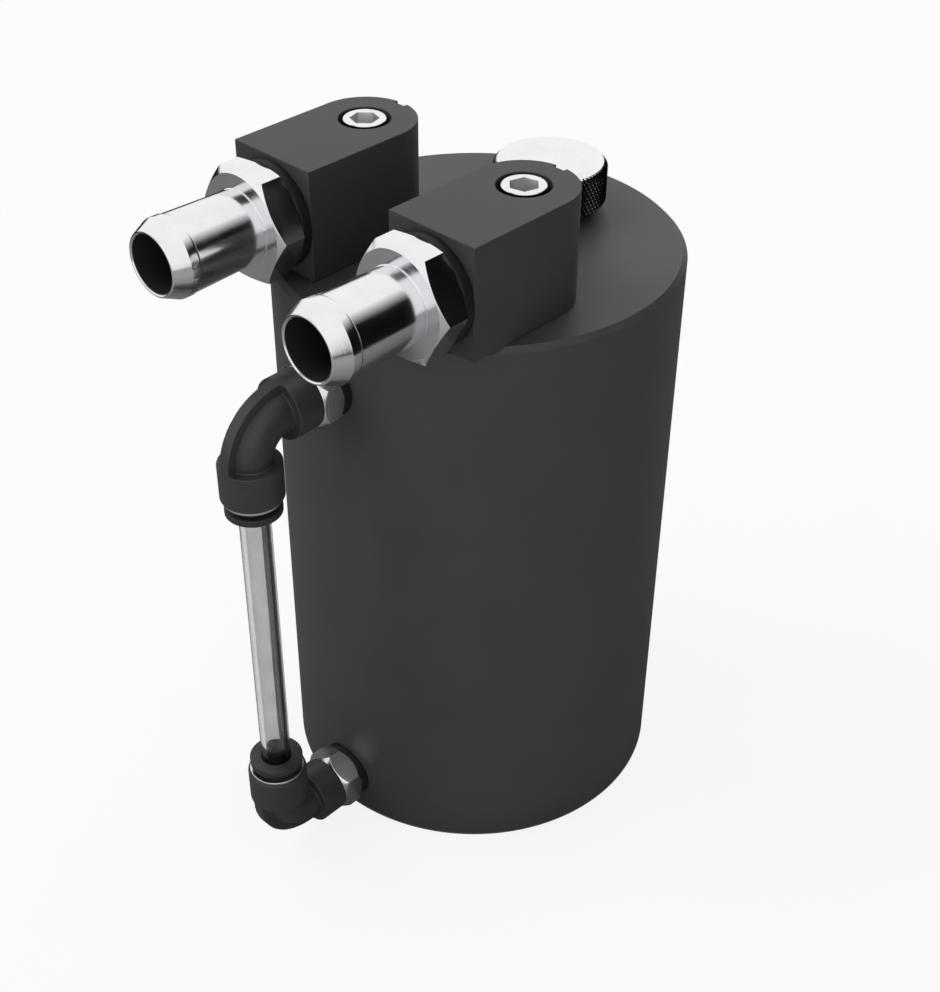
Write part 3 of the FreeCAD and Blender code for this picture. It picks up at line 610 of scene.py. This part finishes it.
def makeBarb(side):
    low, high = boxOf("hose_barb_" + side)
    bolt = middleOf("banjo_bolt_" + side)
    port = middleOf("hose_barb_" + side).z
    shape = barbShape
    flats = high.z - low.z
    back, front = shape["hexBack"], shape["hexFront"]
    root = shape["barrel"] + shape["foot"]
    bead, nose, tip = shape["beadRound"], shape["noseRound"], shape["tipRound"]
    profile = [(shape["bore"], shape["tailStart"]),
               (shape["tail"] - shape["tailLead"], shape["tailStart"]),
               (shape["tail"], shape["tailStart"] + shape["tailLead"]),
               (shape["tail"], front - shape["rootDepth"]),
               (root, front - shape["rootDepth"])]
    profile += arcPoints(root, front + shape["foot"], shape["foot"], 270, 180, 5)
    profile += arcPoints(shape["beadRadius"] - bead, shape["beadStart"] + shape["beadRise"], bead, -30, 0, 4)
    profile += arcPoints(shape["beadRadius"] - nose, shape["beadEnd"] - shape["beadFall"], nose, 0, 38, 4)
    profile += arcPoints(shape["lead"] - tip / 2, shape["tip"] - tip, tip, 38, 90, 4)
    profile += [(shape["bore"] + shape["boreEdge"], shape["tip"]),
                (shape["bore"], shape["tip"] - shape["boreEdge"])]
    barb = turnOnLathe("hose_barb_turned_" + side, profile, 192, ring=True)
    corner = flats / math.sqrt(3)
    rise = (corner - flats / 2) / math.sqrt(3)
    inset = shape["hexInset"]
    hexagon = turnOnLathe("hexagon_blank", [
        (flats / 2 - inset, back),
        (corner + 2 * inset, back + rise),
        (corner + 2 * inset, front - rise),
        (flats / 2 - inset, front),
    ], 192)
    combine(hexagon, hexagonBar("flats_tool", flats, shape["cutLength"], back - 2 * past), "INTERSECT")
    hole = shape["tail"] - shape["overlap"]
    drill = turnOnLathe("hole_tool", [(hole, back - 2 * past), (hole, front + 2 * past)])
    combine(hexagon, drill, "DIFFERENCE")
    easeEdges(hexagon, shape["hexEdge"], 20)
    combine(barb, hexagon, "UNION")
    settle(barb, (bolt.x, bolt.y, port), (90, 0, 0))
    softShade(barb, 24, flatFaces=True)
    # the barb's bore is painted near black inside as shade
    plating = brightTurned("plated_barb_" + side, (bolt.x, 0, port), "Y", lathe=0.01, bore=shape["bore"])
    fit(barb, "neck_" + side, "plated_steel", plating, "hose_barb_" + side)


sealShape = {"round": 0.25 * mm, "capRound": 0.2 * mm, "barb": 6.65 * mm, "cap": 6.05 * mm, "stem": 3.05 * mm}


def makeWasher(name, node, body, inner, level=False):
    # flat seal ring with rounded rims, level or lying against a wall that faces -Y
    low, high = boxOf(node)
    middle = middleOf(node)
    rounding = sealShape["capRound"] if level else sealShape["round"]
    outer = (high.x - low.x) / 2 if level else (high.z - low.z) / 2
    thick = high.z - low.z if level else high.y - low.y
    profile = arcPoints(outer - rounding, rounding, rounding, -90, 0, 4)
    profile += arcPoints(outer - rounding, thick - rounding, rounding, 0, 90, 4)
    profile += [(inner, thick), (inner, 0.0)]
    washer = turnOnLathe(name, profile, 128, ring=True)
    if level:
        settle(washer, (middle.x, middle.y, low.z))
    else:
        settle(washer, (middle.x, high.y, middle.z), (90, 0, 0))
    softShade(washer, 35)
    fit(washer, body, "seal_rubber", blackRubber, node)


boltShape = {
    "crown": 4.1 * mm, "crownHeight": 2.0 * mm, "flange": 4.85 * mm, "flangeThick": 1.0 * mm,
    "shank": 4.0 * mm, "lead": 0.5 * mm, "bore": 2.6 * mm, "plugDepth": 5.5 * mm, "overlap": 0.2 * mm,
    "key": 5.0 * mm, "keyDepth": 4.0 * mm, "edge": 0.12 * mm, "eased": 0.08 * mm, "wellGap": 0.05 * mm,
    "turns": {"left": 43.0, "right": 13.0},
}


def makeBolt(side):
    low, high = boxOf("banjo_bolt_" + side)
    middle = middleOf("banjo_bolt_" + side)
    shape = boltShape
    crownLow = high.z - shape["crownHeight"]
    flangeLow = crownLow - shape["flangeThick"]
    edge = shape["edge"]
    bolt = turnOnLathe("hollow_bolt_" + side, [
        (shape["bore"], low.z),
        (shape["shank"] - shape["lead"], low.z),
        (shape["shank"], low.z + shape["lead"]),
        (shape["shank"], flangeLow),
        (shape["flange"], flangeLow),
        (shape["flange"], crownLow - edge),
        (shape["flange"] - edge, crownLow),
        (shape["crown"], crownLow),
        (shape["crown"], high.z - edge),
        (shape["crown"] - edge, high.z),
        (shape["bore"], high.z),
    ], 128, ring=True)
    core = shape["bore"] + shape["overlap"]
    combine(bolt, turnOnLathe("core", [(core, high.z - shape["plugDepth"]), (core, high.z)]), "UNION")
    socket = hexagonBar("socket_tool", shape["key"], shape["keyDepth"] + past, high.z - shape["keyDepth"])
    combine(bolt, socket, "DIFFERENCE")
    easeEdges(bolt, shape["eased"])
    settle(bolt, (middle.x, middle.y, 0), (0, 0, shape["turns"][side]))
    softShade(bolt)
    # the head's side below the rim is painted dark as shade in the counterbore
    well = (shape["key"] / math.sqrt(3) + shape["wellGap"], high.z)
    fit(bolt, "root", "bolt_steel", boltSteel("bolt_steel_" + side, (middle.x, middle.y, 0), well),
        "banjo_bolt_" + side)


for side in ("left", "right"):
    makeBlock(side)
    makeBarb(side)
    makeWasher("barb_washer_" + side, "barb_seal_" + side, "neck_" + side, sealShape["barb"])
    makeBolt(side)
print("necks ready")

# filler cap: knurled knob on a threaded stem

capShape = {
    "edge": 0.9 * mm, "columns": 150, "rows": 8, "knurlDepth": 0.42 * mm, "band": 0.6 * mm,
    "rimStep": 0.4 * mm, "undercut": 9.0 * mm, "stem": 6.0 * mm, "core": 5.15 * mm, "lead": 0.8 * mm,
    "stemRoot": 0.5 * mm, "overlap": 0.1 * mm, "pitch": 1.5 * mm, "tooth": 0.42, "turnSteps": 64,
    "threadStart": 0.9 * mm, "relief": 1.2 * mm, "darkFrom": 0.10 * mm, "darkTo": 0.015 * mm,
    "darkBelow": 0.2 * mm,
}


def makeCap():
    low, high = boxOf("filler_cap")
    middle = middleOf("filler_cap")
    shape = capShape
    radius = (high.x - low.x) / 2
    under = boxOf("cap_seal")[1].z
    bandLow, bandHigh = under + shape["edge"], high.z - shape["edge"]
    rows, columns = shape["rows"], shape["columns"]
    profile = [(shape["undercut"], under), (radius - shape["edge"], under)]
    profile += [(radius, bandLow + (bandHigh - bandLow) * row / rows) for row in range(rows + 1)]
    profile += [(radius - shape["edge"], high.z), (radius - shape["edge"] - shape["rimStep"], high.z)]
    knob = turnOnLathe("knurled_knob", profile, columns)
    # every second crossing of the knurl is pressed in, row by row, and the grooves join across it
    heights = [bandLow + (bandHigh - bandLow) * row / rows for row in range(rows + 1)]

    def isValley(spot):
        row = min(range(rows + 1), key=lambda index: abs(heights[index] - spot.z))
        column = round(math.atan2(spot.y, spot.x) / (2 * math.pi) * columns - 0.5)
        onBand = abs(spot.xy.length - radius) < 2 * hair and abs(heights[row] - spot.z) < 2 * hair
        return onBand and (row + column) % 2 == 1

    editWhere(knob, "VERT", isValley)
    pressed = 1 - shape["knurlDepth"] / radius
    bpy.ops.transform.resize(value=(pressed, pressed, 1), center_override=(0, 0, 0))
    floor = radius - shape["band"]
    editWhere(knob, "FACE", lambda spot: spot.xy.length > floor and bandLow < spot.z < bandHigh)
    bpy.ops.mesh.quads_convert_to_tris(quad_method="SHORTEST_DIAGONAL")
    bpy.ops.mesh.select_mode(type="VERT")
    bpy.ops.object.mode_set(mode="OBJECT")
    stem = turnOnLathe("stem_core", [
        (shape["core"] - shape["lead"], low.z),
        (shape["core"], low.z + shape["lead"]),
        (shape["core"], under + shape["stemRoot"]),
    ])
    thread = makeThread("stem_thread", shape["core"] - shape["overlap"], shape["stem"],
                        low.z + shape["threadStart"], under - shape["relief"])
    combine(stem, thread, "UNION")
    combine(knob, stem, "UNION")
    settle(knob, (middle.x, middle.y, 0))
    softShade(knob, 20)
    # the knurl's grooves are painted dark as shade between these radii, up to just below the top
    dark = (radius - shape["darkFrom"], radius - shape["darkTo"], high.z - shape["darkBelow"])
    plating = brightTurned("knurled_cap", (middle.x, middle.y, 0), "Z", 0.88, 0.24, 0.10, grooves=dark)
    fit(knob, "cap", "knurled_steel", plating, "filler_cap")


def makeThread(name, inner, outer, bottom, top):
    # one closed tooth profile, swept up a helix
    pitch, steps = capShape["pitch"], capShape["turnSteps"]
    half = pitch * capShape["tooth"]
    clearSelection()
    bpy.ops.mesh.primitive_circle_add(vertices=3, radius=half, location=(0, 0, 0))
    tooth = bpy.context.object
    tooth.name = tooth.data.name = name
    start = bottom + half
    corners = [(outer, start), (inner, start - half), (inner, start + half)]
    for vertex, (radius, height) in zip(tooth.data.vertices, corners):
        vertex.co = (radius, 0.0, height)
    turns = max(1, int((top - bottom - 2 * half) / pitch))
    useModifier(tooth, "SCREW", angle=2 * math.pi * turns, screw_offset=pitch * turns, steps=steps * turns,
                render_steps=steps * turns, use_merge_vertices=False, use_normal_calculate=True)
    editAll(tooth)
    bpy.ops.mesh.fill_holes(sides=0)
    bpy.ops.object.mode_set(mode="OBJECT")
    closeMesh(tooth)
    return tooth


makeCap()
makeWasher("cap_washer", "cap_seal", "cap_lift", sealShape["cap"], level=True)
print("cap ready")

# sight tube with its stems, elbows and collars

stemShape = {
    "hexThick": 4.85 * mm, "hexInset": 0.1 * mm, "hexEdge": 0.08 * mm, "thread": 3.0 * mm, "bore": 1.7 * mm,
    "spigot": 3.6 * mm, "overlap": 0.5 * mm, "cutLength": 10.0 * mm,
}


def makeStem(side):
    node = side + "_stem"
    low, high = boxOf(node)
    seal = boxOf(side + "_stem_seal")
    middle = middleOf(node)
    shape = stemShape
    # measured outwards from the hexagon's back face
    back = seal[0].y
    flats = high.x - low.x
    corner = flats / math.sqrt(3)
    inset = shape["hexInset"]
    rise = corner - flats / 2 + 2 * inset
    blank = turnOnLathe("hexagon_blank", [
        (flats / 2 - inset, 0.0),
        (corner + inset, rise),
        (corner + inset, shape["hexThick"] - rise),
        (flats / 2 - inset, shape["hexThick"]),
    ], 192)
    bar = hexagonBar("flats_tool", flats, shape["cutLength"], -3 * past, cornerAlongX=False)
    combine(blank, bar, "INTERSECT")
    easeEdges(blank, shape["hexEdge"], 20)
    shank = turnOnLathe("shank", [
        (shape["thread"], back - high.y),
        (shape["thread"], shape["overlap"]),
        (shape["spigot"], shape["overlap"]),
        (shape["spigot"], back - low.y),
    ])
    combine(blank, shank, "UNION")
    bore = turnOnLathe("bore_tool", [(shape["bore"], back - high.y - past),
                                     (shape["bore"], back - low.y + past)], 64)
    combine(blank, bore, "DIFFERENCE")
    blank.name = blank.data.name = side + "_stem_turned"
    settle(blank, (middle.x, back, middle.z), (90, 0, 0))
    softShade(blank, 24, flatFaces=True)
    plating = brightTurned("nickel_" + side, (middle.x, 0, middle.z), "Y", 0.78, 0.18)
    fit(blank, "root", "nickel_plate", plating, node)


elbowShape = {
    "radius": 6.0 * mm, "core": 4.2 * mm, "bend": 7.5 * mm, "rib": 2.4 * mm, "ribInset": 0.05 * mm,
    "mouth": 14.9 * mm, "mouthEdge": 0.15 * mm, "socketBore": 4.85 * mm, "socketDepth": 8.9 * mm,
    "tubeStop": 8.2 * mm, "tubeHole": 3.05 * mm, "stemHole": 3.65 * mm, "stemSocket": 5.0 * mm,
    "overlap": 0.3 * mm, "grain": 0.15 * mm,
}


def quarterRing(piece):
    # keeps the quarter of a ring that faces away from the can and the tube
    bend = elbowShape["bend"]
    reach = bend + elbowShape["overlap"]
    settle(piece, (0, bend, -bend), (0, 90, 0))
    editAll(piece)
    bpy.ops.mesh.bisect(plane_co=(0, reach, 0), plane_no=(0, 1, 0), use_fill=True, clear_outer=True)
    bpy.ops.mesh.select_all(action="SELECT")
    bpy.ops.mesh.bisect(plane_co=(0, 0, -reach), plane_no=(0, 0, 1), use_fill=True, clear_inner=True)
    bpy.ops.object.mode_set(mode="OBJECT")
    closeMesh(piece)
    return piece


def makeElbow(side, tumble):
    node = side + "_elbow"
    shape = elbowShape
    bend, outside, mouth, edge = shape["bend"], shape["radius"], shape["mouth"], shape["mouthEdge"]
    stemEnd = boxOf(node)[1].y - tubeAxis.y
    elbow = turnOnLathe("tube_leg", [(outside - edge, -mouth), (outside, -mouth + edge),
                                     (outside, -bend)], 128)
    leg = turnOnLathe("stem_leg", [(outside, -stemEnd), (outside, -bend)], 128)
    combine(elbow, settle(leg, (0, 0, 0), (90, 0, 0)), "UNION")
    clearSelection()
    bpy.ops.mesh.primitive_torus_add(major_radius=bend, minor_radius=shape["core"], major_segments=192,
                                     minor_segments=64)
    combine(elbow, quarterRing(bpy.context.object), "UNION")
    half, crest = shape["rib"] / 2, bend + outside - shape["ribInset"]
    rib = turnOnLathe("rib", [(bend, -half), (crest, -half), (crest, half), (bend, half)], 192, ring=True)
    combine(elbow, quarterRing(rib), "UNION")
    tubeSocket = turnOnLathe("mouth_tool", [
        (shape["tubeHole"], -shape["tubeStop"]),
        (shape["tubeHole"], -shape["socketDepth"]),
        (shape["socketBore"], -shape["socketDepth"]),
        (shape["socketBore"], -mouth - past),
    ])
    combine(elbow, tubeSocket, "DIFFERENCE")
    stemSocket = turnOnLathe("stem_tool", [(shape["stemHole"], -stemEnd - past),
                                           (shape["stemHole"], -stemEnd + shape["stemSocket"])])
    combine(elbow, settle(stemSocket, (0, 0, 0), (90, 0, 0)), "DIFFERENCE")
    # moulded parts have no sharp corner, inside or out
    useModifier(elbow, "REMESH", mode="VOXEL", voxel_size=shape["grain"], adaptivity=0.0)
    useModifier(elbow, "SMOOTH", factor=0.5, iterations=2)
    elbow.name = elbow.data.name = side + "_elbow_moulded"
    settle(elbow, (0, tubeAxis.y, middleOf(side + "_stem").z), tumble)
    softShade(elbow, 60)
    fit(elbow, "root", "elbow_plastic", blackNylon, node)


mouthShape = {
    "cartridge": {"rimThick": 0.7 * mm, "sleeve": 4.8 * mm, "inner": 4.2 * mm},
    "collar": {"rimThick": 1.4 * mm, "sleeve": 4.05 * mm, "inner": 3.05 * mm},
    "edge": 0.12 * mm,
}


def makeMouth(side, sense):
    # bright cartridge and black release collar in the mouth of the elbow
    for kind, body, slotName, material in (
        ("cartridge", "root", "spring_steel", springRing),
        ("collar", "collar_" + side, "collar_plastic", collarNylon),
    ):
        node = side + "_" + kind
        low, high = boxOf(node)
        near, far = (low.z, high.z) if sense > 0 else (-high.z, -low.z)
        rim = (high.x - low.x) / 2
        edge = mouthShape["edge"]
        rimThick, sleeve, inner = mouthShape[kind].values()
        profile = [(inner, near), (sleeve, near), (sleeve, far - rimThick)]
        profile += arcPoints(rim - edge, far - rimThick + edge, edge, -90, 0, 3)
        profile += arcPoints(rim - edge, far - edge, edge, 0, 90, 4)
        profile += [(inner + edge, far), (inner, far - edge)]
        piece = turnOnLathe(node + "_turned", profile, 128, ring=True)
        settle(piece, (0, tubeAxis.y, 0), (0, 0, 0) if sense > 0 else (180, 0, 0))
        softShade(piece, 30)
        fit(piece, body, slotName, material, node)


tubeShape = {"wall": 1.0 * mm, "edge": 0.1 * mm}


def makeTube():
    low, high = boxOf("sight_tube")
    radius = (high.x - low.x) / 2
    inner, edge = radius - tubeShape["wall"], tubeShape["edge"]
    tube = turnOnLathe("sight_tube_clear", [
        (inner, low.z), (radius - edge, low.z), (radius, low.z + edge),
        (radius, high.z - edge), (radius - edge, high.z), (inner, high.z),
    ], ring=True)
    settle(tube, (tubeAxis.x, tubeAxis.y, 0))
    softShade(tube, 40)
    fit(tube, "root", "clear_tube", clearTube("clear_tube", (tubeAxis.x, tubeAxis.y, 0)), "sight_tube")


for side, sense, tumble in (("upper", -1, (0, 0, 0)), ("lower", 1, (0, 180, 0))):
    makeStem(side)
    makeWasher(side + "_stem_washer", side + "_stem_seal", "root", sealShape["stem"])
    makeElbow(side, tumble)
    makeMouth(side, sense)
makeTube()
print("sight tube ready")

# pieces that stay inside keep their plain shapes and get the finish of their metal or rubber

insidePieces = {
    "baffle_plate": bareMetal, "drop_tube": bareMetal,
    "bolt_seal_left": softWasher, "bolt_seal_right": softWasher,
    "upper_grab_ring": springRing, "lower_grab_ring": springRing,
    "base_seal": blackRubber, "drain_seal": blackRubber,
    "block_seal_left": blackRubber, "block_seal_right": blackRubber,
    "upper_tube_seal": blackRubber, "lower_tube_seal": blackRubber,
}
for node, material in insidePieces.items():
    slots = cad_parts[node].data.materials
    slots.clear()
    slots.append(material)
print("inside pieces finished")

# camera, light and stage

cameraView = {
    "place": (0.18812, -0.20221, 0.26828), "right": (0.72538, 0.68830, 0.00804),
    "up": (-0.41680, 0.42989, 0.80092), "lens": 58.45, "sensor": 36.0, "nearest": 0.01,
}


def makeCamera():
    data = bpy.data.cameras.new("camera")
    data.lens = cameraView["lens"]
    data.sensor_width = cameraView["sensor"]
    data.clip_start = cameraView["nearest"]
    camera = bpy.data.objects.new("camera", data)
    bpy.context.collection.objects.link(camera)
    right = Vector(cameraView["right"]).normalized()
    up = Vector(cameraView["up"]).normalized()
    back = right.cross(up)
    matrix = Matrix((right, up, back)).transposed().to_4x4()
    matrix.translation = Vector(cameraView["place"])
    camera.matrix_world = matrix
    bpy.context.scene.camera = camera


lampPlan = {
    "key": {"place": (-0.52, -0.42, 0.80), "size": (0.6, 0.6), "power": 4.5},
    "fill": {"place": (0.70, -0.42, 0.55), "size": (0.7, 0.7), "power": 0.9},
    "back": {"place": (-0.2, 0.75, 0.75), "size": (0.8, 0.5), "power": 2.4},
}
lampTarget = (0, 0, 0.07)


def makeLamp(name, plan):
    # lights the object and isn't seen in reflections
    data = bpy.data.lights.new(name, "AREA")
    data.shape = "RECTANGLE"
    data.size, data.size_y = plan["size"]
    data.energy = plan["power"]
    lamp = bpy.data.objects.new(name, data)
    bpy.context.collection.objects.link(lamp)
    lamp.location = plan["place"]
    lamp.rotation_euler = (Vector(lampTarget) - Vector(plan["place"])).to_track_quat("-Z", "Y").to_euler()
    lamp.visible_glossy = False


stagePlan = {
    "size": 20.0, "height": -0.1 * mm, "tones": (0.84, 0.88), "floorGlow": 0.86, "world": (0.45, 1.0),
}


def makeFloor():
    clearSelection()
    bpy.ops.mesh.primitive_plane_add(size=stagePlan["size"], location=(0, 0, stagePlan["height"]))
    floor = bpy.context.object
    floor.name = "floor"
    finish = Finish("floor_paper")
    paper = finish.noise(finish.place(), 30.0, 3.0)
    colour = finish.tint(finish.spread(paper, 0.0, 1.0), *map(grey, stagePlan["tones"]))
    finish.set(Base_Color=colour, Roughness=0.9)
    glow = finish.add("ShaderNodeEmission", {}, {"Color": (1, 1, 1, 1), "Strength": 1.0})
    finish.blend(finish.seenRays() * stagePlan["floorGlow"], glow)
    floor.data.materials.append(finish.material)


cardPlan = {
    "card_right": {"place": (0.26, 0.17, 0.30), "turn": (90, 0, 126), "size": (0.8, 0.60),
                   "tones": (0.004, 0.004), "fade": (0.32, 0.56)},
    "card_left": {"place": (-0.30, 0.0, 0.0675), "turn": (90, 0, 90), "size": (0.7, 0.135),
                  "tones": (0.01, 0.01), "fade": None},
    "card_front": {"place": (-0.16, -0.34, 0.54), "turn": (33, 0, -28), "size": (0.30, 0.20),
                   "tones": (0.02, 0.02), "fade": None},
    "card_table": {"place": (0.05, 0.0, 0.0004), "turn": (0, 0, 0), "size": (1.4, 1.4),
                   "tones": (0.18, 0.42), "fade": None},
}


def makeCard(name, plan):
    # a card that only reflections see: bright metal needs something dark to show its form
    clearSelection()
    wide, high = plan["size"]
    bpy.ops.mesh.primitive_plane_add(size=1.0, location=(0, 0, 0))
    card = bpy.context.object
    card.name = card.data.name = name
    card.scale = (wide, high, 1)
    bpy.ops.object.transform_apply(location=True, rotation=True, scale=True)
    settle(card, plan["place"], plan["turn"])
    finish = Finish(name + "_felt")
    across = finish.add("ShaderNodeVectorMath", {"operation": "DOT_PRODUCT"},
                        {0: finish.place(), 1: (1, -1, 0)}, "Value")
    felt = finish.noise(finish.place(), 400.0, 3.0) * 0.1
    colour = finish.tint(finish.spread(across, 0.0, 1.0, 0.0, 0.35) + felt, *map(grey, plan["tones"]))
    finish.set(Base_Color=colour, Roughness=0.95, Specular_IOR_Level=0.0)
    if plan["fade"]:
        # its top edge fades away, so that its reflection has a soft edge
        height = finish.add("ShaderNodeSeparateXYZ", {}, {0: finish.place()}, "Z")
        finish.blend(finish.spread(height, 0.0, 1.0, *plan["fade"]), finish.add("ShaderNodeBsdfTransparent"))
    card.data.materials.append(finish.material)
    card.visible_camera = card.visible_diffuse = card.visible_shadow = card.visible_transmission = False


def makeWorld():
    scene = bpy.context.scene
    scene.world = scene.world or bpy.data.worlds.new("studio")
    tree = Tree(scene.world, "ShaderNodeOutputWorld")
    low, high = stagePlan["world"]
    strength = tree.seenRays() * (high - low) + low
    sky = tree.add("ShaderNodeBackground", {}, {"Color": (1, 1, 1, 1), "Strength": strength})
    tree.feed(tree.output.inputs["Surface"], sky)


makeCamera()
makeFloor()
for cardName, plan in cardPlan.items():
    makeCard(cardName, plan)
makeWorld()
for lampName, plan in lampPlan.items():
    makeLamp(lampName, plan)
bpy.context.scene.view_settings.view_transform = "Standard"
print("camera, light and stage ready")
